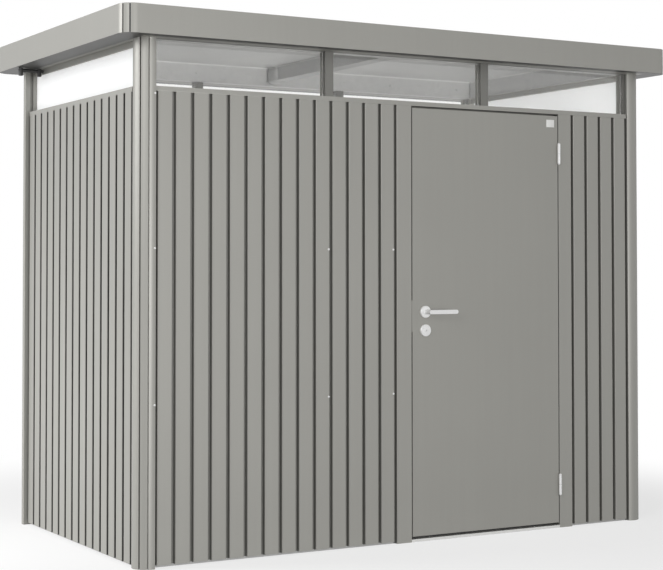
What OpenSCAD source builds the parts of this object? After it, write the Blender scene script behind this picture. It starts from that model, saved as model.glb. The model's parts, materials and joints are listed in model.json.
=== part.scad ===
// Flat-roofed sheet-steel garden shed with a window band under the roof and one hinged door.
// Millimetres, +Z up. The origin is on the ground at the middle of the plan, and the door faces -Y.

/* [Wall grid] */
// Spacing of the vertical ribs in the wall sheets
rib_pitch = 80; // [60:1:110]
// Width of the wide front wall sheet
wide_sheet_w = 800; // [480:10:1200]
// Width of each narrow front wall sheet
narrow_sheet_w = 320; // [160:10:640]
// Width of each door jamb
jamb_w = 80; // [60:1:120]
// Clear width between the door jambs
doorway_w = 800; // [700:10:1000]
// Length of each side wall between its corner posts
side_run = 1200; // [800:10:2400]

/* [Heights] */
// Height of the window sill above the ground
sill_top = 1897; // [1700:1:2100]
// Height of the rail that caps the wall sheets
sill_rail_h = 18; // [12:1:40]
// Height of the window band at the front and the back
window_h = 190; // [120:1:400]
// Height of the rail over each side window
side_head_h = 25; // [15:1:60]
// Gap between the ground and the lower edge of the wall sheets
foot_gap = 10; // [4:1:30]
// Height of the rail behind the foot of the wall sheets
base_rail_h = 40; // [25:1:80]

/* [Wall section] */
// Thickness of the folded wall sheet
sheet_t = 1.5; // [0.8:0.1:3]
// Width of the groove between two ribs
groove_w = 13; // [8:1:20]
// Depth of the groove between two ribs
groove_d = 18; // [8:1:22]
// Slope of each groove side
groove_taper = 1.5; // [0.5:0.1:3]
// Width of the folds along the ribs
fold = 2; // [0.5:0.1:3]
// Depth of the wall rails from the face of the wall
rail_d = 44; // [40:1:60]
// Wall thickness of the rail tubes
rail_t = 2; // [1:0.5:4]

/* [Corner posts] */
// Distance from a corner post's joints with the sheets to the wall faces
post_w = 72; // [64:1:90]
// Radius of the rounded face of a corner post
post_r = 58; // [50:1:64]
// Distance of the rounded face's centre from the joint that it overhangs least
post_near = 20; // [16:1:24]
// Distance of the rounded face's centre from the joint beside which it stands proud
post_far = 32; // [28:1:36]
// Wall thickness of a corner post
post_wall = 3; // [2:0.5:5]
// Width of the flutes in posts and fascia corners
flute_w = 6; // [3:0.5:9]
// Depth of the flutes in the posts
flute_d = 9; // [4:0.5:12]

/* [Window band] */
// Thickness of the window panes
pane_t = 4; // [3:0.5:8]
// Distance from the wall face to the panes
pane_setback = 36; // [30:1:40]
// Gap between a pane and the upright beside it
pane_gap = 0.5; // [0.2:0.1:3]
// Width of the mullions
mullion_w = 40; // [25:1:60]
// Depth of the mullions
mullion_d = 45; // [30:1:48]
// Distance from the wall face to the mullions
mullion_setback = 16; // [8:1:24]
// Distance from the wall face to the side window head rails
head_setback = 28; // [20:1:32]
// Depth of the side window head rails
head_d = 32; // [16:1:34]

/* [Roof] */
// Roof overhang at the front and the back
front_overhang = 94; // [80:1:200]
// Roof overhang at the sides
side_overhang = 106; // [80:1:200]
// Height of the fascia
fascia_h = 116; // [110:1:180]
// Sheet thickness of fascia and soffit
fascia_t = 2; // [1:0.5:4]
// Width of the folded lip on top of the fascia
fascia_lip = 24; // [10:1:40]
// Radius of the rounded fascia corners
fascia_r = 58; // [40:1:70]
// Wall thickness of the fascia corners
corner_wall = 7; // [5:0.5:10]
// Depth of the flutes in the fascia corners
corner_flute_d = 4; // [2:0.5:4.5]
// Height of the roof beams over the window band
beam_h = 90; // [70:1:94]
// Depth of the roof beams
beam_d = 40; // [30:1:50]
// Wall thickness of the roof beams
beam_t = 3; // [2:0.5:5]
// Width of the lip along the inner foot of a roof beam
beam_lip = 8; // [4:1:16]
// Height of the middle rafter
rafter_h = 72; // [40:1:80]
// Width of the middle rafter
rafter_w = 50; // [30:1:90]
// Width that the rafter's foot flange stands out on each side
rafter_flange = 12; // [5:1:25]
// Thickness of the roof deck
deck_t = 2; // [1:0.5:6]
// Gap between the deck and the face of the fascia
deck_inset = 22; // [20:1:24]
// Height of the raised seams on the deck
seam_h = 14; // [6:1:18]
// Width of the raised seams on the deck
seam_w = 24; // [15:1:40]
// Number of raised seams on the deck
seam_count = 4; // [2:1:8]

/* [Rain outlets] */
// Radius of the pipe of a rain outlet
outlet_pipe_r = 8; // [5:1:10]
// Distance from the soffit to the middle of the pipe
outlet_drop = 12; // [11:1:16]
// Distance from the wall face to the outer end of the pipe
outlet_reach = 88; // [50:1:92]
// Distance of the outlets from the end of the side walls
outlet_inset = 100; // [60:5:300]
// Radius of the nozzles under the pipe
nozzle_r = 10; // [9:1:12]
// Bore of the nozzles
nozzle_bore_r = 6; // [3:0.5:7]
// Distance from the soffit to the lower end of the nozzles
nozzle_drop = 36; // [30:1:60]
// Distance from the wall face inwards to the inner nozzle
nozzle_setback = 10; // [4:1:14]

/* [Door] */
// Thickness of the door leaf
leaf_t = 33; // [25:1:34]
// Gap between the leaf and each jamb
leaf_gap = 5; // [4:0.5:8]
// Gap above the leaf
leaf_top_gap = 10; // [6:1:20]
// Gap between the leaf and the threshold
leaf_floor_gap = 12; // [6:1:20]
// Height of the threshold
threshold_h = 12; // [8:1:30]
// Thickness of the folded sheet of leaf and jambs
door_sheet_t = 2; // [1:0.5:3]
// Width of the lip round the back of the leaf
leaf_lip = 25; // [15:1:40]
// Depth of the stiffeners behind the leaf's skin
stiffener_d = 24; // [12:1:28]
// Height of the stiffeners behind the leaf's skin
stiffener_h = 40; // [20:1:80]
// Thickness of the door stops
stop_t = 5; // [3:0.5:5]
// Width of the door stops
stop_w = 14; // [8:1:20]

/* [Door fittings] */
// Distance from the leaf's free edge to the lever axis
backset = 65; // [55:1:80]
// Height of the lever axis above the ground
lever_z = 987; // [900:1:1100]
// Drop from the lever axis to the lock axis
lock_drop = 80; // [70:1:100]
// Radius of the round plates behind lever and lock
rose_r = 26; // [22:1:28]
// Thickness of the round plates
rose_t = 9; // [5:0.5:12]
// Slope along the rim of the round plates and the ends of the hinges
rim_slope = 2; // [0.5:0.5:3]
// Distance from lever and lock to the edges of the lock case
lock_case = 45; // [36:1:60]
// Radius of the lock cylinder's face
lock_r = 9; // [6:0.5:12]
// Height of the lock cylinder above its plate
lock_proud = 2; // [1:0.5:5]
// Radius of the lever's neck
neck_r = 9; // [7:0.5:11]
// Running clearance of the neck in its plate and of the hinge pin in its knuckle
running_gap = 0.05; // [0.02:0.01:0.1]
// Radius of the hole in the leaf for the lever's neck
leaf_bore_r = 13; // [12:0.5:16]
// Distance from the leaf's face to the middle of the lever's grip
lever_reach = 46; // [36:1:60]
// Length of the lever from its axis
lever_len = 140; // [110:1:160]
// Height of the lever's grip
grip_h = 18; // [14:1:22]
// Thickness of the lever's grip
grip_t = 10; // [8:1:14]
// Radius of the hinge knuckles
knuckle_r = 7; // [6:0.5:9]
// Height of a whole hinge
hinge_h = 94; // [70:2:140]
// Radius of the hinge pin
pin_r = 4; // [3:0.5:4.5]
// Gap between the two knuckles of a hinge
knuckle_gap = 0.5; // [0.3:0.1:2]
// Distance from each end of the leaf to the middle of the hinge
hinge_inset = 172; // [100:1:400]
// Thickness of the hinge flags in the gap beside the leaf
flag_t = 2; // [1:0.5:2]
// Depth of the hinge flags along the leaf's edge
flag_d = 26; // [15:1:30]
// Gap between the hinge knuckles and the face of the door
knuckle_proud = 1; // [0.5:0.5:4]

/* [Hidden] */
$fn = 64;

grey = [0.60, 0.60, 0.57];
light_grey = [0.68, 0.68, 0.65];
steel = [0.86, 0.86, 0.85];
clear = [0.88, 0.92, 0.93, 0.4];
black = [0.08, 0.08, 0.08];
cut = 1;

// Sides in order from the front, counter-clockwise seen from above
SIDES = ["front", "right", "back", "left"];

front_run = wide_sheet_w + 2 * narrow_sheet_w + 2 * jamb_w + doorway_w;
wall_w = front_run + 2 * post_w;
wall_d = side_run + 2 * post_w;
soffit_z = sill_top + window_h;
deck_z = soffit_z + beam_h;
roof_w = wall_w + 2 * side_overhang;
roof_d = wall_d + 2 * front_overhang;
sheet_top = sill_top - sill_rail_h;
beam_setback = post_w - beam_d;
post_flutes = [38, 72];
corner_flutes = [30, 60];

// Half lengths of a side along itself, and distances of its faces from the middle of the plan
function turn(side) = 90 * search([side], SIDES)[0];
function is_long(side) = side == "front" || side == "back";
function run(side) = is_long(side) ? front_run : side_run;
function wall_reach(side) = (is_long(side) ? wall_d : wall_w) / 2;
function wall_half(side) = (is_long(side) ? wall_w : wall_d) / 2;
function roof_reach(side) = (is_long(side) ? roof_d : roof_w) / 2;
function roof_half(side) = (is_long(side) ? roof_w : roof_d) / 2;

// Places along the front, from left to right
narrow_x = -front_run / 2 + wide_sheet_w;
jamb_left_x = narrow_x + narrow_sheet_w;
door_left_x = jamb_left_x + jamb_w;
door_right_x = door_left_x + doorway_w;
jamb_right_x = door_right_x + jamb_w;
face_y = -wall_d / 2;

leaf_w = doorway_w - 2 * leaf_gap;
leaf_z = threshold_h + leaf_floor_gap;
leaf_h = sheet_top - leaf_top_gap - leaf_z;
hinge_x = door_right_x - leaf_gap / 2;
hinge_y = face_y - knuckle_r - knuckle_proud;
hinge_heights = [leaf_z + hinge_inset, leaf_z + leaf_h - hinge_inset];
lever_x = door_left_x + leaf_gap + backset;
mullion_places = [-front_run / 6, front_run / 6];
stiffener_parts = [0.2, 0.4, 0.65, 0.85];

// Puts a piece drawn for the front on any side, with y = 0 on the wall's face and +y inwards
module on_wall(side) {
    rotate([0, 0, turn(side)]) translate([0, -wall_reach(side), 0]) children();
}

// Puts a piece drawn for the front left corner on any corner of a plan, with its origin inset
module on_corner(side, w, d, inset) {
    x = side == "front" || side == "left" ? -1 : 1;
    y = side == "front" || side == "right" ? -1 : 1;
    translate([x * (w / 2 - inset), y * (d / 2 - inset), 0]) rotate([0, 0, turn(side)]) children();
}

// A quarter disc in the quadrant where x and y are negative
module quarter_disc(r) {
    intersection() {
        circle(r = r, $fn = 128);
        translate([-r, -r]) square(r);
    }
}

module flutes(angles, r, depth) {
    for (angle = angles) {
        rotate(180 + angle) translate([r - depth, -flute_w / 2]) square([depth + cut, flute_w]);
    }
}

// Steps that leave half a groove beside each wall sheet, grown by a wall thickness where they meet the hollow
module post_rebates(grow) {
    reach = post_w + post_r;
    half = groove_w / 2 + grow;
    step = post_w - groove_d - grow;
    translate([-half, -reach]) square([half + cut, reach - step]);
    translate([-reach, -half]) square([reach - step, half + cut]);
}

// Hollow section with a rounded, fluted face that stands proud of one of its two walls
module post_section() {
    reach = post_w + post_r;
    difference() {
        intersection() {
            translate([-post_near, -post_far]) circle(r = post_r, $fn = 128);
            translate([-reach, -reach]) square(reach);
        }
        translate([-post_near, -post_far]) flutes(post_flutes, post_r, flute_d);
        post_rebates(0);
        difference() {
            intersection() {
                translate([-post_near, -post_far]) circle(r = post_r - flute_d - post_wall, $fn = 128);
                translate([-reach - post_wall, -reach - post_wall]) square(reach);
            }
            post_rebates(post_wall);
        }
    }
}

module post(side) {
    color(light_grey) on_corner(side, wall_w, wall_d, post_w) linear_extrude(soffit_z) post_section();
}

module post_front_left() { post("front"); }
module post_front_right() { post("right"); }
module post_back_right() { post("back"); }
module post_back_left() { post("left"); }

// Folded sheet: flat ribs with a narrow groove between them and half a groove along each edge
module ribbed_section(width) {
    ribs = max(1, round(width / rib_pitch));
    pitch = width / ribs;
    half = groove_w / 2;
    rim = half + groove_taper;
    floor_y = groove_d + sheet_t;
    outer = [for (i = [0 : ribs - 1]) each [
        [i * pitch + half, groove_d],
        [i * pitch + rim, fold],
        [i * pitch + rim + fold, 0],
        [(i + 1) * pitch - rim - fold, 0],
        [(i + 1) * pitch - rim, fold],
        [(i + 1) * pitch - half, groove_d]
    ]];
    inner = [for (i = [ribs - 1 : -1 : 0]) each [
        [(i + 1) * pitch - half - sheet_t, floor_y],
        [(i + 1) * pitch - rim - sheet_t, fold + sheet_t],
        [(i + 1) * pitch - rim - fold - sheet_t / 2, sheet_t],
        [i * pitch + rim + fold + sheet_t / 2, sheet_t],
        [i * pitch + rim + sheet_t, fold + sheet_t],
        [i * pitch + half + sheet_t, floor_y]
    ]];
    right_edge = [[width, groove_d], [width, floor_y]];
    left_edge = [[0, floor_y], [0, groove_d]];
    polygon(concat(outer, right_edge, inner, left_edge));
}

module wall_sheet(side, x, width) {
    color(grey) on_wall(side) translate([x, 0, foot_gap])
        linear_extrude(sheet_top - foot_gap) ribbed_section(width);
}

module back_sheet(index) {
    wall_sheet("back", -front_run / 2 + index * front_run / 3, front_run / 3);
}

module front_sheet_wide() { wall_sheet("front", -front_run / 2, wide_sheet_w); }
module front_sheet_left() { wall_sheet("front", narrow_x, narrow_sheet_w); }
module front_sheet_right() { wall_sheet("front", jamb_right_x, narrow_sheet_w); }
module left_sheet() { wall_sheet("left", -side_run / 2, side_run); }
module right_sheet() { wall_sheet("right", -side_run / 2, side_run); }
module back_sheet_left() { back_sheet(2); }
module back_sheet_middle() { back_sheet(1); }
module back_sheet_right() { back_sheet(0); }

// A section drawn in depth and height, swept along x over a length
module swept(length) {
    rotate([90, 0, 90]) linear_extrude(length) children();
}

module tube_section(d, h, t) {
    difference() {
        square([d, h]);
        translate([t, t]) square([d - 2 * t, h - 2 * t]);
    }
}

// Channel behind the foot of the sheets, open towards the room
module base_rail(side, x, length) {
    start = groove_d + sheet_t;
    color(light_grey) on_wall(side) translate([x, start, 0]) swept(length) difference() {
        square([rail_d - start, base_rail_h]);
        translate([rail_t, rail_t]) square([rail_d - start, base_rail_h - 2 * rail_t]);
    }
}

module base_rail_front_left() { base_rail("front", -front_run / 2, wide_sheet_w + narrow_sheet_w); }
module base_rail_front_right() { base_rail("front", jamb_right_x, narrow_sheet_w); }
module base_rail_back() { base_rail("back", -front_run / 2, front_run); }
module base_rail_left() { base_rail("left", -side_run / 2, side_run); }
module base_rail_right() { base_rail("right", -side_run / 2, side_run); }

module sill_rail(side) {
    color(grey) on_wall(side) translate([-run(side) / 2, 0, sheet_top])
        swept(run(side)) tube_section(rail_d, sill_rail_h, rail_t);
}

// With a stop behind the top of the leaf
module sill_rail_front() {
    sill_rail("front");
    color(grey) translate([door_left_x + stop_w, face_y + rail_d - stop_t, sheet_top - leaf_top_gap - stop_w])
        cube([doorway_w - 2 * stop_w, stop_t, leaf_top_gap + stop_w + rail_t]);
}

module sill_rail_back() { sill_rail("back"); }
module sill_rail_left() { sill_rail("left"); }
module sill_rail_right() { sill_rail("right"); }

// Hollow jamb with half a groove beside the wall sheet and a stop behind the leaf
module jamb_section() {
    half = groove_w / 2;
    difference() {
        polygon([
            [-jamb_w, groove_d],
            [half - jamb_w, groove_d],
            [half - jamb_w, fold],
            [half - jamb_w + fold, 0],
            [0, 0],
            [0, rail_d - stop_t],
            [stop_w, rail_d - stop_t],
            [stop_w, rail_d],
            [-jamb_w, rail_d]
        ]);
        translate([half - jamb_w + door_sheet_t, fold + door_sheet_t])
            square([jamb_w - half - 2 * door_sheet_t, rail_d - fold - 2 * door_sheet_t]);
    }
}

module jamb_left() {
    color(grey) translate([door_left_x, face_y, 0]) linear_extrude(sheet_top) jamb_section();
}

module jamb_right() {
    color(grey) translate([door_right_x, face_y, 0]) mirror([1, 0, 0])
        linear_extrude(sheet_top) jamb_section();
}

module threshold() {
    color(steel) translate([door_left_x, face_y, 0]) swept(doorway_w)
        tube_section(rail_d - stop_t, threshold_h, rail_t);
}

module mullions(side) {
    color(grey) on_wall(side) for (x = mullion_places) {
        translate([x - mullion_w / 2, mullion_setback, sill_top]) linear_extrude(window_h)
            tube_section(mullion_w, mullion_d, rail_t);
    }
}

module front_mullions() { mullions("front"); }
module back_mullions() { mullions("back"); }

module pane(x, width, height) {
    translate([x + pane_gap, pane_setback, sill_top]) cube([width - 2 * pane_gap, pane_t, height]);
}

// Three panes between the posts and the mullions
module pane_row(side) {
    clear_w = front_run / 3 - mullion_w / 2;
    color(clear) on_wall(side) {
        pane(-front_run / 2, clear_w, window_h);
        pane(mullion_places[0] + mullion_w / 2, front_run / 3 - mullion_w, window_h);
        pane(mullion_places[1] + mullion_w / 2, clear_w, window_h);
    }
}

module side_pane(side) {
    color(clear) on_wall(side) pane(-side_run / 2, side_run, window_h - side_head_h);
}

module front_panes() { pane_row("front"); }
module back_panes() { pane_row("back"); }
module left_pane() { side_pane("left"); }
module right_pane() { side_pane("right"); }

module side_head_rails() {
    color(grey) for (side = ["left", "right"]) {
        on_wall(side) translate([-side_run / 2, head_setback, soffit_z - side_head_h])
            swept(side_run) tube_section(head_d, side_head_h, rail_t);
    }
}

// Channel open outwards, with a lip along the inner foot
module beam_section() {
    difference() {
        union() {
            square([beam_d, beam_h]);
            square([beam_d + beam_lip, beam_t]);
        }
        translate([-cut, beam_t]) square([beam_d - beam_t + cut, beam_h - 2 * beam_t]);
    }
}

module beam(side) {
    half = is_long(side) ? wall_half(side) - beam_setback : wall_half(side) - post_w - beam_lip;
    color(light_grey) on_wall(side) translate([-half, beam_setback, soffit_z]) swept(2 * half) beam_section();
}

module beam_front() { beam("front"); }
module beam_back() { beam("back"); }
module beam_left() { beam("left"); }
module beam_right() { beam("right"); }

// Box rafter from front beam to back beam, with a flange along its foot
module rafter() {
    half = wall_d / 2 - post_w;
    flange_w = rafter_w + 2 * rafter_flange;
    color(light_grey) translate([0, half, deck_z - rafter_h]) rotate([90, 0, 0]) linear_extrude(2 * half) {
        translate([-rafter_w / 2, 0]) tube_section(rafter_w, rafter_h, beam_t);
        translate([-flange_w / 2, 0]) square([flange_w, beam_t]);
    }
}

// A rectangle with round corners, centred on the origin
module round_plate(w, d, r) {
    square([w - 2 * r, d], center = true);
    square([w, d - 2 * r], center = true);
    for (x = [r - w / 2, w / 2 - r], y = [r - d / 2, d / 2 - r]) {
        translate([x, y]) circle(r = r);
    }
}

// Flat deck with raised seams that run from front to back
module roof_deck() {
    deck_w = roof_w - 2 * deck_inset;
    deck_d = roof_d - 2 * deck_inset;
    color(light_grey) {
        translate([0, 0, deck_z]) linear_extrude(deck_t) round_plate(deck_w, deck_d, fascia_r - deck_inset);
        for (i = [1 : seam_count]) {
            x = -deck_w / 2 + i * deck_w / (seam_count + 1);
            translate([x - seam_w / 2, deck_d / 2, deck_z]) rotate([90, 0, 0]) linear_extrude(deck_d)
                tube_section(seam_w, deck_t + seam_h, deck_t);
        }
    }
}

// Folded sheet: face, lip on top, and soffit mitred to the next side
module fascia(side) {
    half = roof_half(side) - fascia_r;
    reach = roof_reach(side);
    inner_half = wall_half(side) - beam_setback;
    inner_reach = wall_reach(side) - beam_setback;
    color(grey) rotate([0, 0, turn(side)]) {
        translate([0, 0, soffit_z]) linear_extrude(fascia_t) polygon([
            [-half, -reach],
            [half, -reach],
            [half, fascia_r - reach],
            [inner_half, -inner_reach],
            [-inner_half, -inner_reach],
            [-half, fascia_r - reach]
        ]);
        translate([-half, -reach, soffit_z]) cube([2 * half, fascia_t, fascia_h]);
        translate([-half, -reach, soffit_z + fascia_h - fascia_t]) cube([2 * half, fascia_lip, fascia_t]);
    }
}

module fascia_front() { fascia("front"); }
module fascia_back() { fascia("back"); }
module fascia_left() { fascia("left"); }
module fascia_right() { fascia("right"); }

module corner_ring(width) {
    difference() {
        quarter_disc(fascia_r);
        circle(r = fascia_r - width, $fn = 128);
    }
}

// Rounded and fluted fascia corner with its own piece of soffit
module fascia_corner() {
    linear_extrude(fascia_h) difference() {
        corner_ring(corner_wall);
        flutes(corner_flutes, fascia_r, corner_flute_d);
    }
    linear_extrude(fascia_t) difference() {
        quarter_disc(fascia_r);
        flutes(corner_flutes, fascia_r, corner_flute_d);
    }
    translate([0, 0, fascia_h - fascia_t]) linear_extrude(fascia_t) difference() {
        corner_ring(fascia_lip);
        flutes(corner_flutes, fascia_r, corner_flute_d);
    }
}

module fascia_corners() {
    color(light_grey) for (side = SIDES) {
        translate([0, 0, soffit_z]) on_corner(side, roof_w, roof_d, fascia_r) fascia_corner();
    }
}

// Pipe under the soffit from the head rail of the side window, with two short nozzles
module rain_outlet() {
    nozzles = [nozzle_r - outlet_reach, nozzle_setback];
    difference() {
        union() {
            translate([0, -outlet_reach, soffit_z - outlet_drop]) rotate([-90, 0, 0])
                cylinder(r = outlet_pipe_r, h = outlet_reach + head_setback);
            for (y = nozzles) {
                translate([0, y, soffit_z - nozzle_drop]) cylinder(r = nozzle_r, h = nozzle_drop - rail_t);
            }
        }
        for (y = nozzles) {
            translate([0, y, soffit_z - nozzle_drop - cut])
                cylinder(r = nozzle_bore_r, h = nozzle_drop - outlet_drop + cut);
        }
    }
}

module rain_outlets() {
    y = side_run / 2 - outlet_inset;
    color(black) {
        on_wall("left") translate([-y, 0, 0]) rain_outlet();
        on_wall("right") translate([y, 0, 0]) rain_outlet();
    }
}

module lever_hole(r) {
    translate([lever_x, face_y - cut, lever_z]) rotate([-90, 0, 0]) cylinder(r = r, h = leaf_t + 2 * cut);
}

// Folded tray with lips round its back
module leaf_tray() {
    t = door_sheet_t;
    difference() {
        cube([leaf_w, leaf_t, leaf_h]);
        translate([t, t, t]) cube([leaf_w - 2 * t, leaf_t - 2 * t, leaf_h - 2 * t]);
        translate([leaf_lip, leaf_t / 2, leaf_lip]) cube([leaf_w - 2 * leaf_lip, leaf_t, leaf_h - 2 * leaf_lip]);
    }
}

// Angle across the back of the skin
module stiffener() {
    t = door_sheet_t;
    cube([leaf_w, stiffener_d, t]);
    translate([0, stiffener_d - t, -stiffener_h]) cube([leaf_w, t, stiffener_h]);
}

// Plate over lever and lock in the plane of the lips, with a web to the skin
module lock_plate() {
    t = door_sheet_t;
    w = backset + lock_case;
    h = lock_drop + 2 * lock_case;
    translate([0, leaf_t - t, lever_z - leaf_z - lock_drop - lock_case]) cube([w, t, h]);
    translate([w - t, 0, lever_z - leaf_z - lock_drop - lock_case]) cube([t, leaf_t, h]);
}

module door_leaf() {
    color(grey) difference() {
        translate([door_left_x + leaf_gap, face_y, leaf_z]) {
            leaf_tray();
            for (part = stiffener_parts) {
                translate([0, 0, part * leaf_h]) stiffener();
            }
            lock_plate();
        }
        lever_hole(leaf_bore_r);
    }
}

// Runs a fitting drawn on the outer face, with +y away from the leaf, on both faces of the leaf
module on_both_faces() {
    translate([lever_x, face_y, lever_z]) mirror([0, 1, 0]) children();
    translate([lever_x, face_y + leaf_t, lever_z]) children();
}

module standing_disc(r, h) {
    rotate([-90, 0, 0]) cylinder(r = r, h = h);
}

// A standing disc with a sloped rim on its free face
module standing_plate(r, h) {
    standing_disc(r, h - rim_slope);
    translate([0, h - rim_slope, 0]) rotate([-90, 0, 0]) cylinder(r1 = r, r2 = r - rim_slope, h = rim_slope);
}

// Lever plates with a bearing for the neck, and lock plates with the cylinder's face
module door_roses() {
    color(steel) on_both_faces() {
        difference() {
            standing_plate(rose_r, rose_t);
            translate([0, -cut, 0]) standing_disc(neck_r + running_gap, rose_t + 2 * cut);
        }
        translate([0, 0, -lock_drop]) {
            standing_plate(rose_r, rose_t);
            standing_disc(lock_r, rose_t + lock_proud);
        }
    }
}

// Both levers on one neck through the leaf
module door_lever() {
    grip_y = lever_reach - grip_t / 2;
    color(steel) {
        translate([lever_x, face_y - grip_y, lever_z]) standing_disc(neck_r, leaf_t + 2 * grip_y);
        on_both_faces() translate([0, grip_y, 0]) {
            standing_disc(grip_h / 2, grip_t);
            translate([0, 0, -grip_h / 2]) cube([lever_len - grip_h / 2, grip_t, grip_h]);
            translate([lever_len - grip_h / 2, 0, 0]) standing_disc(grip_h / 2, grip_t);
        }
    }
}

// Lower knuckle with the pin, and a flag on the jamb
module hinge_frame_halves() {
    half = hinge_h / 2;
    color(steel) for (z = hinge_heights) {
        translate([hinge_x, hinge_y, z - half]) {
            cylinder(r1 = knuckle_r - rim_slope, r2 = knuckle_r, h = rim_slope);
            translate([0, 0, rim_slope]) cylinder(r = knuckle_r, h = half - rim_slope);
            translate([0, 0, rim_slope]) cylinder(r = pin_r, h = 2 * half - knuckle_r - rim_slope);
            translate([leaf_gap / 2 - flag_t, 0, 0]) cube([flag_t, face_y - hinge_y + flag_d, half]);
        }
    }
}

// Upper knuckle bored for the pin, and a flag on the leaf
module hinge_leaf_halves() {
    half = hinge_h / 2;
    color(steel) for (z = hinge_heights) {
        translate([hinge_x, hinge_y, z]) difference() {
            translate([0, 0, knuckle_gap]) {
                cylinder(r = knuckle_r, h = half - knuckle_gap - rim_slope);
                translate([0, 0, half - knuckle_gap - rim_slope])
                    cylinder(r1 = knuckle_r, r2 = knuckle_r - rim_slope, h = rim_slope);
                translate([-leaf_gap / 2, 0, 0]) cube([flag_t, face_y - hinge_y + flag_d, half - knuckle_gap]);
            }
            translate([0, 0, -cut]) cylinder(r = pin_r + running_gap, h = half - knuckle_r + 2 * cut);
        }
    }
}

post_front_left();
post_front_right();
post_back_right();
post_back_left();
front_sheet_wide();
front_sheet_left();
front_sheet_right();
left_sheet();
right_sheet();
back_sheet_left();
back_sheet_middle();
back_sheet_right();
base_rail_front_left();
base_rail_front_right();
base_rail_back();
base_rail_left();
base_rail_right();
sill_rail_front();
sill_rail_back();
sill_rail_left();
sill_rail_right();
jamb_left();
jamb_right();
threshold();
front_mullions();
back_mullions();
front_panes();
back_panes();
left_pane();
right_pane();
side_head_rails();
beam_front();
beam_back();
beam_left();
beam_right();
rafter();
roof_deck();
fascia_front();
fascia_back();
fascia_left();
fascia_right();
fascia_corners();
rain_outlets();
door_leaf();
door_roses();
door_lever();
hinge_frame_halves();
hinge_leaf_halves();
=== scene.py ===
import json
import math

import bmesh
import bpy
from mathutils import Euler, Matrix, Vector


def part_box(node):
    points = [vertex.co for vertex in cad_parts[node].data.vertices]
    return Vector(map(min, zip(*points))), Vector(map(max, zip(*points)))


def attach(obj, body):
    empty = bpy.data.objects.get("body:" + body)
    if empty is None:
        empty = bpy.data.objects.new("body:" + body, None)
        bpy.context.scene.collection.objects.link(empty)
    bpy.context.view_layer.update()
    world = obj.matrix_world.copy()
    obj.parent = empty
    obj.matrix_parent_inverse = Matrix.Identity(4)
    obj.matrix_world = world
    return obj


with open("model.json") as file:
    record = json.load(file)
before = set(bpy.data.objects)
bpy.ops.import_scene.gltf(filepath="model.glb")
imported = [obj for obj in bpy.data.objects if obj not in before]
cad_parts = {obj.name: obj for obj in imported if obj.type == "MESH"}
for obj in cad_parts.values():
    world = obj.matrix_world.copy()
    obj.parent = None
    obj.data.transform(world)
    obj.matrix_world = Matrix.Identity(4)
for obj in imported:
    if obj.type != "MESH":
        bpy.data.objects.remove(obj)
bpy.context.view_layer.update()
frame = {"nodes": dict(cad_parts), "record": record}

MM = 0.001
WHITE = (1.0, 1.0, 1.0, 1.0)


# Places on the CAD part, in mm

def corners(node):
    """Lowest and highest corner of a CAD node."""
    low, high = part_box(node)
    return low / MM, high / MM


leaf_low, leaf_high = corners("door_leaf")
way_low, way_high = corners("threshold")
sheet_low, sheet_high = corners("left_sheet")
sill_high = corners("sill_rail_front")[1]
jamb_high = corners("jamb_left")[1]
mullion_high = corners("front_mullions")[1]
rose_low, rose_high = corners("door_roses")
hinge_low, hinge_high = corners("hinge_frame_halves")
deck_low, deck_high = corners("roof_deck")
corner_low, corner_high = corners("fascia_corners")

face = leaf_low.y
back = leaf_high.y
side_x = sheet_low.x
side_run = sheet_high.y
sheet_top = sheet_high.z
front_run = sill_high.x
sill_top = sill_high.z
soffit_z = corner_low.z


# Shader expressions

class Shade:
    """A socket in a node tree that Python's operators work on."""

    def __init__(self, tree, socket=None):
        self.tree = tree
        self.socket = socket

    def node(self, kind, settings=None, sockets=None, out=0):
        """Adds any node: its settings first, then the values or links of its sockets."""
        made = self.tree.nodes.new(kind)
        for name, value in (settings or {}).items():
            setattr(made, name, value)
        for name, value in (sockets or {}).items():
            if isinstance(value, Shade):
                self.tree.links.new(value.socket, made.inputs[name])
            else:
                made.inputs[name].default_value = value
        return Shade(self.tree, made.outputs[out] if len(made.outputs) else None)

    def math(self, operation, first, second):
        return self.node("ShaderNodeMath", {"operation": operation}, {0: first, 1: second})

    def __add__(self, other):
        return self.math("ADD", self, other)

    def __sub__(self, other):
        return self.math("SUBTRACT", self, other)

    def __mul__(self, other):
        return self.math("MULTIPLY", self, other)

    def __rsub__(self, other):
        return self.math("SUBTRACT", other, self)

    __radd__ = __add__
    __rmul__ = __mul__

    def highest(self, other):
        return self.math("MAXIMUM", self, other)

    def size(self):
        """The value without its sign."""
        return self.math("ABSOLUTE", self, 0.0)

    def swing(self, amount):
        """A value about 0.5 as one about 0, times an amount."""
        return (self - 0.5) * amount

    def ramp(self, low, high):
        """0 below low, 1 above high, smooth between."""
        return self.node(
            "ShaderNodeMapRange",
            {"interpolation_type": "SMOOTHSTEP", "clamp": True},
            {"Value": self, "From Min": low, "From Max": high},
        )

    def noise(self, scale, detail, roughness=0.5):
        """Noise over these coordinates, from 0 to 1 about 0.5."""
        return self.node(
            "ShaderNodeTexNoise",
            sockets={"Vector": self, "Scale": scale, "Detail": detail, "Roughness": roughness},
        )

    def stretched(self, x, y, z):
        """These coordinates with each axis scaled."""
        return self.node("ShaderNodeMapping", sockets={"Vector": self, "Scale": (x, y, z)})

    def axis(self, name):
        return self.node("ShaderNodeSeparateXYZ", sockets={0: self}, out=name)

    def tinted(self, dark, light):
        """A colour between two, by this value."""
        factor, first, second, result = 0, 6, 7, 2
        sockets = {factor: self, first: dark, second: light}
        return self.node("ShaderNodeMix", {"data_type": "RGBA"}, sockets, result)


def scaled(colour, factor):
    """A colour times a factor, with its alpha."""
    return (*(min(1.0, part * factor) for part in colour), 1.0)


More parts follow.
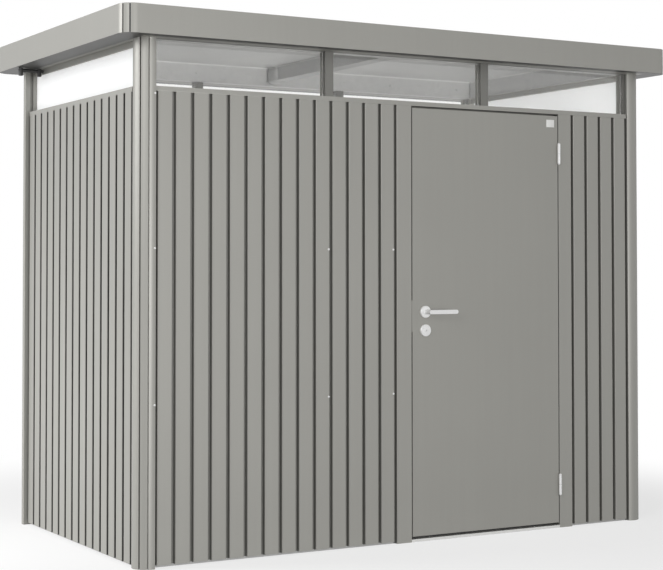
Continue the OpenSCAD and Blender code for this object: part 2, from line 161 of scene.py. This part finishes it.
def new_finish(name):
    """An empty material, as (material, expression start, object coordinates)."""
    finish = bpy.data.materials.new(name)
    finish.use_nodes = True
    finish.node_tree.nodes.clear()
    start = Shade(finish.node_tree)
    return finish, start, start.node("ShaderNodeTexCoord", out="Object")


def mixed(start, factor, first, second):
    return start.node("ShaderNodeMixShader", sockets={0: factor, 1: first, 2: second})


def show(start, shader):
    start.node("ShaderNodeOutputMaterial", sockets={"Surface": shader})


def surface(start, sockets, height, strength, distance):
    """One Principled shader with a bump, shown on the material."""
    bump = {"Strength": strength, "Distance": distance, "Height": height}
    normal = start.node("ShaderNodeBump", sockets=bump)
    show(start, start.node("ShaderNodeBsdfPrincipled", sockets={**sockets, "Normal": normal}))


# Depths in m from the wall faces: where a groove starts on the front and on the sides, just
# behind the grooves, and where the corner posts end
FRONT_GROOVE = (0.003, 0.010)
SIDE_GROOVE = (0.004, 0.006)
BEHIND_GROOVE = (0.0182, 0.0188)
POST_END = (0.065, 0.07)
# Strength of the painted shade in the front grooves and on the mullions, in the side grooves, and
# on the soffit under the overhang
FRONT_SHADE, SIDE_SHADE, OVERHANG_SHADE = 0.45, 0.86, 0.9


def painted_shade(place, normal):
    """Painted shade: loss of brightness in the grooves, on the mullions and on the soffit under the
    overhang, where shade falls.
    """
    x, y, z = place.axis("X").size(), place.axis("Y").size(), place.axis("Z")
    side_depth, front_depth = -side_x * MM - x, -face * MM - y
    past_post = front_depth.ramp(*POST_END)
    off_side_wall = side_depth.ramp(0.002, 0.01)
    front = front_depth.ramp(*FRONT_GROOVE) * (1.0 - past_post) * off_side_wall * FRONT_SHADE

    in_sheet = 1.0 - side_depth.ramp(*BEHIND_GROOVE)
    fold = (1.0 - normal.axis("X").size().ramp(0.6, 0.97)) * in_sheet
    floor = side_depth.ramp(*SIDE_GROOVE) * in_sheet
    below_sill = 1.0 - z.ramp(sheet_top * MM - 0.004, sheet_top * MM - 0.001)
    side = fold.highest(floor) * past_post * below_sill * SIDE_SHADE

    overhang = y.ramp(0.70, 0.73).highest(x.ramp(1.26, 1.28))
    at_soffit = 1.0 - (z - soffit_z * MM).size().ramp(0.0004, 0.0008)
    return front.highest(side).highest(at_soffit * overhang * OVERHANG_SHADE)


def paint(name, colour, with_painted_shade):
    """Satin metallic coat on sheet steel: fine flake, slight peel, rain marks, dust at the foot,
    and painted shade where asked.
    """
    finish, start, place = new_finish(name)
    flake = place.noise(scale=900.0, detail=1.0)
    cloud = place.noise(scale=1.7, detail=3.0)
    streak = place.stretched(38.0, 38.0, 1.2).noise(scale=1.0, detail=3.0, roughness=0.6)
    low_down = 1.0 - place.axis("Z").ramp(0.0, 0.22)
    dust = low_down * place.noise(scale=14.0, detail=4.0, roughness=0.65)
    tone = 1.0 + flake.swing(0.11) + cloud.swing(0.07) + streak.swing(0.056) + dust * 0.05
    # Painted shade in the grooves, on the mullions and under the overhang
    if with_painted_shade:
        tone = tone * (1.0 - painted_shade(place, start.node("ShaderNodeTexCoord", out="Normal")))
    darkest, lightest = 0.1, 1.1
    peel = place.noise(scale=420.0, detail=2.0) * 0.25 + place.noise(scale=5.0, detail=2.0)
    surface(
        start,
        {
            "Base Color": (tone - darkest).tinted(
                scaled(colour, darkest), scaled(colour, lightest)
            ),
            "Roughness": 0.40 + cloud * 0.06 + flake * 0.05 + dust * 0.12,
            "Metallic": 0.3,
            "IOR": 1.5,
            "Coat Weight": 0.12,
            "Coat Roughness": 0.35,
        },
        height=peel,
        strength=0.12,
        distance=0.0012,
    )
    return finish


def zinc(name, colour):
    """Galvanised sheet with spangle, with painted light that makes the deck brighter than the beams
    below it.
    """
    finish, start, place = new_finish(name)
    cells = {"Vector": place, "Scale": 55.0}
    spangle = start.node("ShaderNodeTexVoronoi", sockets=cells, out="Color")
    grain = start.node("ShaderNodeRGBToBW", sockets={0: spangle})
    cloud = place.noise(scale=3.0, detail=3.0)
    # Painted light: the underside of the deck is lit brighter than the beams below it
    deck = place.axis("Z").ramp(deck_low.z * MM - 0.009, deck_low.z * MM - 0.003)
    tone = 0.03 + grain * 0.18 + cloud.swing(0.2) + deck * 0.6
    surface(
        start,
        {
            "Base Color": tone.tinted(scaled(colour, 0.72), scaled(colour, 1.15)),
            "Roughness": 0.42 + grain * 0.16,
            "Metallic": 0.2,
        },
        height=grain * 0.3 + place.noise(scale=260.0, detail=2.0) * 0.4,
        strength=0.06,
        distance=0.0006,
    )
    return finish


def brushed(name, colour, roughness, metallic):
    """Bare metal brushed along X."""
    finish, start, place = new_finish(name)
    along, across = 45.0, 2600.0
    lines = place.stretched(along, across, across).noise(scale=1.0, detail=2.0, roughness=0.6)
    smudge = place.noise(scale=28.0, detail=3.0)
    tone = 0.5 + lines.swing(0.9) + smudge.swing(0.4)
    surface(
        start,
        {
            "Base Color": tone.tinted(scaled(colour, 0.9), scaled(colour, 1.06)),
            "Roughness": roughness + lines.swing(0.14) + smudge.swing(0.1),
            "Metallic": metallic,
        },
        height=lines,
        strength=0.05,
        distance=0.0003,
    )
    return finish


def clear_acrylic(name, colour):
    """Clear sheet that lets lamps through, with faint dust."""
    finish, start, place = new_finish(name)
    glass = start.node(
        "ShaderNodeBsdfPrincipled",
        sockets={
            "Base Color": (*colour, 1.0),
            "Roughness": 0.01 + place.noise(scale=9.0, detail=3.0) * 0.03,
            "IOR": 1.49,
            "Transmission Weight": 1.0,
        },
    )
    open_way = start.node("ShaderNodeBsdfTransparent", sockets={"Color": (*colour, 1.0)})
    lamp_ray = start.node("ShaderNodeLightPath", out="Is Shadow Ray")
    show(start, mixed(start, lamp_ray, glass, open_way))
    return finish


def opal_acrylic(name, dark, light):
    """White sheet that lets some light through, with a painted glow that brightens it and fills the
    shade of the overhang on it.
    """
    finish, start, place = new_finish(name)
    cloud = place.noise(scale=6.0, detail=3.0)
    surface(
        start,
        {
            "Base Color": cloud.tinted((*dark, 1.0), (*light, 1.0)),
            "Roughness": 0.45 + cloud * 0.15,
            "IOR": 1.49,
            "Transmission Weight": 0.4,
            # Painted glow: the sheet glows though it is no lamp
            "Emission Color": WHITE,
            "Emission Strength": 0.2,
        },
        height=place.noise(scale=700.0, detail=1.0),
        strength=0.05,
        distance=0.0003,
    )
    return finish


def moulded(name, colour, roughness):
    """Moulded black plastic or rubber with a fine grain."""
    finish, start, place = new_finish(name)
    grain = place.noise(scale=900.0, detail=2.0)
    bloom = place.noise(scale=16.0, detail=3.0)
    tone = 0.5 + grain.swing(0.5) + bloom.swing(0.6)
    surface(
        start,
        {
            "Base Color": tone.tinted(scaled(colour, 0.7), scaled(colour, 1.4)),
            "Roughness": roughness + bloom * 0.12,
            "IOR": 1.46,
        },
        height=grain,
        strength=0.15,
        distance=0.0004,
    )
    return finish


FINISHES = {
    "grey_paint": paint("grey_paint", (0.335, 0.330, 0.305), with_painted_shade=True),
    "door_paint": paint("door_paint", (0.325, 0.320, 0.295), with_painted_shade=False),
    "galvanised_inner": zinc("galvanised_inner", (0.68, 0.68, 0.67)),
    "clear_acrylic": clear_acrylic("clear_acrylic", (0.97, 0.97, 0.965)),
    "side_acrylic": opal_acrylic("side_acrylic", (0.78, 0.79, 0.79), (0.84, 0.84, 0.84)),
    "stainless": brushed("stainless", (1.0, 1.0, 0.99), roughness=0.26, metallic=0.08),
    "sill_aluminium": brushed("sill_aluminium", (0.80, 0.80, 0.78), roughness=0.34, metallic=0.4),
    "black_plastic": moulded("black_plastic", (0.028, 0.028, 0.028), roughness=0.42),
}
for part in frame["record"]["subparts"]:
    for slot in frame["nodes"][part["node"]].material_slots:
        slot.material = FINISHES[part["material_slot"]]


# Shapes and places in mm

def block(low, high, bevel=0.0, segments=2):
    """A box between two corners, with rounded edges."""
    shape = bmesh.new()
    bmesh.ops.create_cube(shape, size=1.0)
    low, high = Vector(low) * MM, Vector(high) * MM
    bmesh.ops.scale(shape, vec=high - low, verts=shape.verts)
    bmesh.ops.translate(shape, vec=(low + high) / 2, verts=shape.verts)
    if bevel:
        bmesh.ops.bevel(
            shape,
            geom=shape.edges[:],
            offset=bevel * MM,
            segments=segments,
            profile=0.5,
            affect="EDGES",
            material=-1,
        )
    return shape


def turned(profile, steps):
    """A turned shape round +Z from (radius, height) points."""
    shape = bmesh.new()
    verts = [shape.verts.new((radius * MM, 0.0, height * MM)) for radius, height in profile]
    edges = [shape.edges.new(pair) for pair in zip(verts, verts[1:])]
    bmesh.ops.spin(
        shape,
        geom=verts + edges,
        cent=(0.0, 0.0, 0.0),
        axis=(0.0, 0.0, 1.0),
        angle=2 * math.pi,
        steps=steps,
        use_merge=True,
    )
    bmesh.ops.remove_doubles(shape, verts=shape.verts, dist=1e-6)
    bmesh.ops.recalc_face_normals(shape, faces=shape.faces)
    return shape


def at(x, y, z, turn=(0.0, 0.0, 0.0)):
    """A place with a turn in degrees."""
    angles = Euler([math.radians(angle) for angle in turn])
    return Matrix.Translation(Vector((x, y, z)) * MM) @ angles.to_matrix().to_4x4()


def half_turned(places):
    """Places and their copies on the far side of the plan."""
    return places + [Matrix.Rotation(math.pi, 4, "Z") @ place for place in places]


HERE = Matrix.Identity(4)
BOTH_SIDES = half_turned([HERE])
FACING_FRONT = (90.0, 0.0, 0.0)
FACING_BACK = (-90.0, 0.0, 0.0)
FACING_RIGHT = (0.0, 90.0, 0.0)
UPSIDE_DOWN = (180.0, 0.0, 0.0)
SHARP_ANGLE = 35.0


class Piece:
    """Copies of shapes joined into one object that rides on a body."""

    def __init__(self):
        self.mesh = bmesh.new()

    def add(self, shape, *places):
        blank = bpy.data.meshes.new("blank")
        for place in places or (HERE,):
            shape.to_mesh(blank)
            blank.transform(place)
            self.mesh.from_mesh(blank)
        bpy.data.meshes.remove(blank)
        shape.free()
        return self

    def close(self, name, slot, body):
        bmesh.ops.recalc_face_normals(self.mesh, faces=self.mesh.faces)
        data = bpy.data.meshes.new(name)
        self.mesh.to_mesh(data)
        self.mesh.free()
        data.shade_smooth()
        data.set_sharp_from_angle(angle=math.radians(SHARP_ANGLE))
        data.materials.append(FINISHES[slot])
        obj = bpy.data.objects.new(name, data)
        bpy.context.scene.collection.objects.link(obj)
        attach(obj, body)


# Screws in the posts and along the joints of the sheets
SCREW = [
    (4.6, 0.0), (4.6, 0.9), (4.1, 1.9), (3.0, 2.6), (1.9, 2.8), (1.7, 2.8), (1.6, 1.2), (0.0, 1.0)
]
SCREW_SUNK = 0.3
SCREW_HEIGHTS = (640.0, 1255.0)
TOP_SCREW_Z = 1866.0
post_screw = (-1211.0, -689.3)
front_screws = [post_screw, (-412.0, face), (-92.0, face)]
back_screws = [post_screw, (-412.0, face), (388.0, face)]
fixings = [
    at(x, y + SCREW_SUNK, z, FACING_FRONT) for x, y in front_screws for z in SCREW_HEIGHTS
]
fixings += [
    at(-x, -y - SCREW_SUNK, z, FACING_BACK) for x, y in back_screws for z in SCREW_HEIGHTS
]
fixings += half_turned([at(post_screw[0], post_screw[1] + SCREW_SUNK, TOP_SCREW_Z, FACING_FRONT)])
Piece().add(turned(SCREW, 16), *fixings).close("wall_screws", "stainless", "shed")

# Plain blank plate in the place of a label
PLATE_W, PLATE_H, PLATE_T = 44.0, 34.0, 0.8
plate_x, plate_z = leaf_high.x - 19.0, leaf_high.z - 18.0
plate = block(
    (plate_x - PLATE_W, face - PLATE_T, plate_z - PLATE_H), (plate_x, face + 0.1, plate_z), 0.35
)
Piece().add(plate).close("door_plate", "sill_aluminium", "door")

# Hinge axes, and the strike's height on the left jamb
HINGE_INSET, HINGE_PROUD, HINGE_HALF = 172.0, 8.0, 47.0
hinge_x, hinge_y = (hinge_low.x + hinge_high.x) / 2, face - HINGE_PROUD
hinge_heights = (leaf_low.z + HINGE_INSET, leaf_high.z - HINGE_INSET)
STRIKE_LOW, STRIKE_HIGH = 882.0, 1056.0

# Rubber strips on the stops behind the leaf, and black strips in the gaps beside it clear of the
# hinges and the strike, which stand for the shade in those gaps
STOP_T, STRIP_W, STRIP_INSET, STRIP_ROUND = 5.0, 9.5, 2.0, 1.2
GAP_ROUND, HINGE_CLEAR, STRIKE_CLEAR = 0.4, 56.0, 2.0
strip_front, strip_back = back + 1.6, jamb_high.y - STOP_T + 0.2
seals_and_gap_shade = Piece()
for x in (way_low.x + STRIP_INSET, way_high.x - STRIP_INSET - STRIP_W):
    low = (x, strip_front, leaf_low.z + 8.0)
    seals_and_gap_shade.add(block(low, (x + STRIP_W, strip_back, leaf_high.z - 16.0), STRIP_ROUND))
head_x = jamb_high.x + STRIP_INSET
seals_and_gap_shade.add(
    block(
        (head_x, strip_front, leaf_high.z - 12.0),
        (way_low.x + way_high.x - head_x, strip_back, leaf_high.z - 12.0 + STRIP_W),
        STRIP_ROUND,
    )
)
# Black strips in the gaps beside the leaf: a dark thing standing for the shade in the gaps
gap_low, gap_high = leaf_low.z + 6.0, leaf_high.z - 7.0
low_hinge, high_hinge = hinge_heights
right_gaps = (
    (gap_low, low_hinge - HINGE_CLEAR),
    (low_hinge + HINGE_CLEAR, high_hinge - HINGE_CLEAR),
    (high_hinge + HINGE_CLEAR, gap_high),
)
left_gaps = ((gap_low, STRIKE_LOW - STRIKE_CLEAR), (STRIKE_HIGH + STRIKE_CLEAR, gap_high))
for low_x, high_x, gaps in (
    (leaf_high.x + 1.2, way_high.x - 0.05, right_gaps),
    (way_low.x + 0.05, leaf_low.x - 2.2, left_gaps),
):
    for low_z, high_z in gaps:
        seals_and_gap_shade.add(block((low_x, face + 2.0, low_z), (high_x, face + 6.0, high_z), GAP_ROUND))
seals_and_gap_shade.close("door_seals_and_gap_shade", "black_plastic", "shed")

# Rubber sweep under the foot of the leaf, which also stands for the shade in the gap there
sweep = block(
    (leaf_low.x + 3.0, back - 7.0, way_high.z + 1.2),
    (leaf_high.x - 3.0, back - 2.2, leaf_low.z + 3.0),
    0.8,
)
Piece().add(sweep).close("door_sweep", "black_plastic", "door")

# Glazing strips on both sides of each pane, on top of the sill
GASKET_DEPTHS, GASKET_W, GASKET_H, GASKET_ROUND = (32.0, 40.0), 3.8, 4.0, 0.8
MULLION_W, POST_GAP, MULLION_GAP = 40.0, 2.0, 1.5
bay_end = front_run - POST_GAP
bay_start = mullion_high.x + MULLION_GAP
middle_end = mullion_high.x - MULLION_W - MULLION_GAP
gaskets = Piece()
for depth in GASKET_DEPTHS:
    y = face + depth
    for low_x, high_x in ((-bay_end, -bay_start), (-middle_end, middle_end), (bay_start, bay_end)):
        high = (high_x, y + GASKET_W, sill_top + GASKET_H)
        gaskets.add(block((low_x, y, sill_top), high, GASKET_ROUND), *BOTH_SIDES)
for depth in GASKET_DEPTHS:
    x, end = side_x + depth, side_run - POST_GAP
    high = (x + GASKET_W, end, sill_top + GASKET_H)
    gaskets.add(block((x, -end, sill_top), high, GASKET_ROUND), *BOTH_SIDES)
gaskets.close("glazing_strips", "black_plastic", "shed")

# Lock cylinders with their keyways, and collars round the lever's neck
PLUG_T, ROSE_T = 0.9, 9.0
PLUG = [(6.6, 0.0), (6.6, 0.5), (6.1, PLUG_T), (0.0, PLUG_T)]
COLLAR = [(9.3, 0.0), (13.5, 0.0), (13.5, 1.0), (12.6, 2.0), (9.3, 2.0), (9.3, 0.0)]
KEY_W, KEY_H, KEY_PROUD, KEY_SUNK, KEY_ROUND = 1.4, 7.6, 0.5, 0.12, 0.1
rose_r = (rose_high.x - rose_low.x) / 2
lever_x = (rose_low.x + rose_high.x) / 2
lever_z, lock_z = rose_high.z - rose_r, rose_low.z + rose_r
locks = Piece()
locks.add(
    turned(PLUG, 32),
    at(lever_x, rose_low.y, lock_z, FACING_FRONT),
    at(lever_x, rose_high.y, lock_z, FACING_BACK),
)
locks.add(
    turned(COLLAR, 32),
    at(lever_x, face - ROSE_T, lever_z, FACING_FRONT),
    at(lever_x, back + ROSE_T, lever_z, FACING_BACK),
)
locks.close("lock_faces", "stainless", "door")
keyways = Piece()
for y, low_y, high_y in (
    (rose_low.y - PLUG_T, -KEY_PROUD, KEY_SUNK),
    (rose_high.y + PLUG_T, -KEY_SUNK, KEY_PROUD),
):
    high = (KEY_W / 2, high_y, KEY_H / 2)
    keyway = block((-KEY_W / 2, low_y, -KEY_H / 2), high, KEY_ROUND)
    keyways.add(keyway, at(lever_x, y, lock_z))
keyways.close("keyways", "black_plastic", "door")

# Face plate of the lock along the leaf's edge, and its strike on the jamb
LOCK_LOW, LOCK_HIGH = 901.0, 1037.0
lock_plate = block(
    (leaf_low.x - 3.4, face + 0.4, LOCK_LOW), (leaf_low.x + 0.05, face + 27.0, LOCK_HIGH), 0.3
)
Piece().add(lock_plate).close("lock_face_plate", "door_paint", "door")
strike = block(
    (way_low.x - 0.05, face + 5.0, STRIKE_LOW), (way_low.x + 0.5, face + 30.0, STRIKE_HIGH), 0.2
)
Piece().add(strike).close("strike", "stainless", "shed")

# Washers between the hinge knuckles and caps on their ends
WASHER = [(4.2, 0.06), (7.4, 0.06), (7.4, 0.44), (4.2, 0.44), (4.2, 0.06)]
CAP = [(4.6, 0.0), (4.6, 0.6), (3.6, 1.6), (0.0, 2.1)]
washers = [at(hinge_x, hinge_y, z) for z in hinge_heights]
caps = [at(hinge_x, hinge_y, z + HINGE_HALF) for z in hinge_heights]
feet = [at(hinge_x, hinge_y, z - HINGE_HALF, UPSIDE_DOWN) for z in hinge_heights]
Piece().add(turned(WASHER, 32), *washers).close("hinge_washers", "black_plastic", "shed")
Piece().add(turned(CAP, 24), *caps).close("hinge_caps", "stainless", "door")
Piece().add(turned(CAP, 24), *feet).close("hinge_feet", "stainless", "shed")

# Fasteners along the seams of the deck, and bolts through the beams
BOLT = [(9.0, 0.0), (9.0, 1.2), (6.5, 1.6), (6.5, 5.2), (5.9, 6.0), (0.0, 6.0)]
BOLT_SUNK, BEAM_DEPTH, BEAM_MIDDLE = 0.2, 72.0, 45.0
SEAM_COUNT = 4
FASTENER_ROWS = (-640.0, -320.0, 0.0, 320.0, 640.0)
FRONT_BOLTS = (-1120.0, -700.0, -420.0, 420.0, 700.0, 1120.0)
SIDE_BOLTS = (-420.0, 420.0)
seam_pitch = (deck_high.x - deck_low.x) / (SEAM_COUNT + 1)
seams = [deck_low.x + seam_pitch * (i + 1) for i in range(SEAM_COUNT)]
fasteners = [at(x, y, deck_high.z - BOLT_SUNK) for x in seams for y in FASTENER_ROWS]
Piece().add(turned(BOLT, 12), *fasteners).close("deck_fasteners", "stainless", "shed")
bolt_depth, bolt_z = BEAM_DEPTH - BOLT_SUNK, soffit_z + BEAM_MIDDLE
bolts = [at(x, face + bolt_depth, bolt_z, FACING_BACK) for x in FRONT_BOLTS]
bolts += [at(side_x + bolt_depth, y, bolt_z, FACING_RIGHT) for y in SIDE_BOLTS]
Piece().add(turned(BOLT, 12), *half_turned(bolts)).close("beam_bolts", "galvanised_inner", "shed")

# Black strips at the foot of the flutes in the fascia corners, standing for the shade in the flutes
CORNER_R, CORNER_FLUTES = 58.0, (30.0, 60.0)
FLUTE_SHADE_NEAR, FLUTE_SHADE_FAR, FLUTE_SHADE_W, FLUTE_SHADE_INSET = 54.05, 55.0, 5.6, 2.0
corner_x, corner_y = corner_high.x - CORNER_R, corner_high.y - CORNER_R
tips = [(-corner_x, -corner_y), (corner_x, -corner_y), (corner_x, corner_y), (-corner_x, corner_y)]
flute_shade = block(
    (FLUTE_SHADE_NEAR, -FLUTE_SHADE_W / 2, FLUTE_SHADE_INSET),
    (FLUTE_SHADE_FAR, FLUTE_SHADE_W / 2, corner_high.z - corner_low.z - FLUTE_SHADE_INSET),
)
flute_shade_places = [
    at(x, y, corner_low.z, (0.0, 0.0, 180.0 + 90.0 * quarter + flute))
    for quarter, (x, y) in enumerate(tips)
    for flute in CORNER_FLUTES
]
Piece().add(flute_shade, *flute_shade_places).close("flute_shade_strips", "black_plastic", "shed")

# Rounded casings on the ends of the rafter
CASING_W, CASING_H, CASING_LENGTH, CASING_ROUND = 76.0, 82.0, 105.0, 26.0
casing_top, casing_end = deck_low.z - 1.0, side_run - 3.0
casing = block(
    (-CASING_W / 2, casing_end - CASING_LENGTH, casing_top - CASING_H),
    (CASING_W / 2, casing_end, casing_top),
    CASING_ROUND,
    6,
)
Piece().add(casing, *BOTH_SIDES).close("rafter_casings", "galvanised_inner", "shed")

# Drip edges where the sills cap the sheets
DRIP_HALF, DRIP_END_GAP = 1.4, 1.0
drip = block(
    (DRIP_END_GAP - front_run, face - 1.0, sheet_top - DRIP_HALF),
    (front_run - DRIP_END_GAP, face + 0.3, sheet_top + DRIP_HALF),
    0.4,
)
Piece().add(drip, *BOTH_SIDES).close("drip_edges", "grey_paint", "shed")


# Floor, light and camera, in m

FILL_LIGHT = 0.22
FLOOR_RADIUS = 16.0
# Name, place, aim, side, power in W and whether smooth surfaces mirror it
LAMPS = (
    ("key", (-5.6, -4.6, 3.4), (-0.3, -0.2, 1.1), 2.2, 113.0, True),
    ("side", (-7.0, 2.2, 3.5), (-1.26, 0.0, 1.1), 3.0, 248.0, True),
    ("skirt", (-2.9, 0.25, 0.5), (-1.272, 0.2, -0.15), 0.9, 22.0, False),
    ("front", (-1.0, -9.0, 0.95), (0.3, 0.0, 0.9), 1.8, 278.5, True),
    ("room", (0.0, 0.1, 0.03), (0.0, 0.1, 2.1), 1.0, 12.0, True),
)
CAMERA_PLACE = (-3.762, -6.442, 1.179)
CAMERA_TILT, CAMERA_PAN = 0.028, -0.516
CAMERA_LENS, CAMERA_SENSOR = 86.6, 36.0
CAMERA_SHIFT = (0.0283, -0.0938)


def white_for_seen_rays(start, lit, white):
    """lit for rays that light the object, white for rays from the camera, mirrored or through."""
    seen = start.node("ShaderNodeLightPath", out="Is Camera Ray")
    mirrored = start.node("ShaderNodeLightPath", out="Is Glossy Ray")
    passed = start.node("ShaderNodeLightPath", out="Is Transmission Ray")
    return mixed(start, seen.highest(mirrored).highest(passed), lit, white)


def studio_floor():
    """Dim as a source of light, white where it is seen, with a soft shadow near the part."""
    bpy.ops.mesh.primitive_circle_add(vertices=96, radius=FLOOR_RADIUS, fill_type="NGON")
    floor = bpy.context.object
    floor.name = "studio_floor"
    finish, start, place = new_finish("studio_floor")
    reach = start.node("ShaderNodeVectorMath", {"operation": "LENGTH"}, {0: place}, out="Value")
    dim = start.node("ShaderNodeBsdfDiffuse", sockets={"Color": (0.17, 0.17, 0.17, 1.0)})
    pale = start.node("ShaderNodeBsdfDiffuse", sockets={"Color": (0.95, 0.95, 0.95, 1.0)})
    white = start.node("ShaderNodeEmission", sockets={"Color": WHITE, "Strength": 1.0})
    near = mixed(start, reach.ramp(1.6, 3.2) * 0.3 + 0.7, pale, white)
    show(start, white_for_seen_rays(start, dim, near))
    floor.data.materials.append(finish)


def studio_world():
    world = bpy.data.worlds.new("studio")
    bpy.context.scene.world = world
    world.use_nodes = True
    world.node_tree.nodes.clear()
    start = Shade(world.node_tree)
    lit = start.node("ShaderNodeBackground", sockets={"Color": WHITE, "Strength": FILL_LIGHT})
    white = start.node("ShaderNodeBackground", sockets={"Color": WHITE, "Strength": 1.0})
    seen = white_for_seen_rays(start, lit, white)
    start.node("ShaderNodeOutputWorld", sockets={"Surface": seen})


def soft_box(name, place, aim, side, watts, glints):
    lamp = bpy.data.lights.new(name, "AREA")
    lamp.shape = "SQUARE"
    lamp.size = side
    lamp.energy = watts
    obj = bpy.data.objects.new(name, lamp)
    bpy.context.scene.collection.objects.link(obj)
    obj.location = place
    obj.rotation_euler = (Vector(aim) - Vector(place)).to_track_quat("-Z", "Y").to_euler()
    obj.visible_glossy = glints


def photo_camera():
    camera = bpy.data.cameras.new("photo_view")
    camera.sensor_width = CAMERA_SENSOR
    camera.lens = CAMERA_LENS
    camera.shift_x, camera.shift_y = CAMERA_SHIFT
    camera.dof.use_dof = False
    obj = bpy.data.objects.new("photo_view", camera)
    bpy.context.scene.collection.objects.link(obj)
    obj.location = CAMERA_PLACE
    obj.rotation_euler = (math.pi / 2 + CAMERA_TILT, 0.0, CAMERA_PAN)
    bpy.context.scene.camera = obj


studio_floor()
studio_world()
for lamp in LAMPS:
    soft_box(*lamp)
photo_camera()
bpy.context.scene.view_settings.view_transform = "Standard"
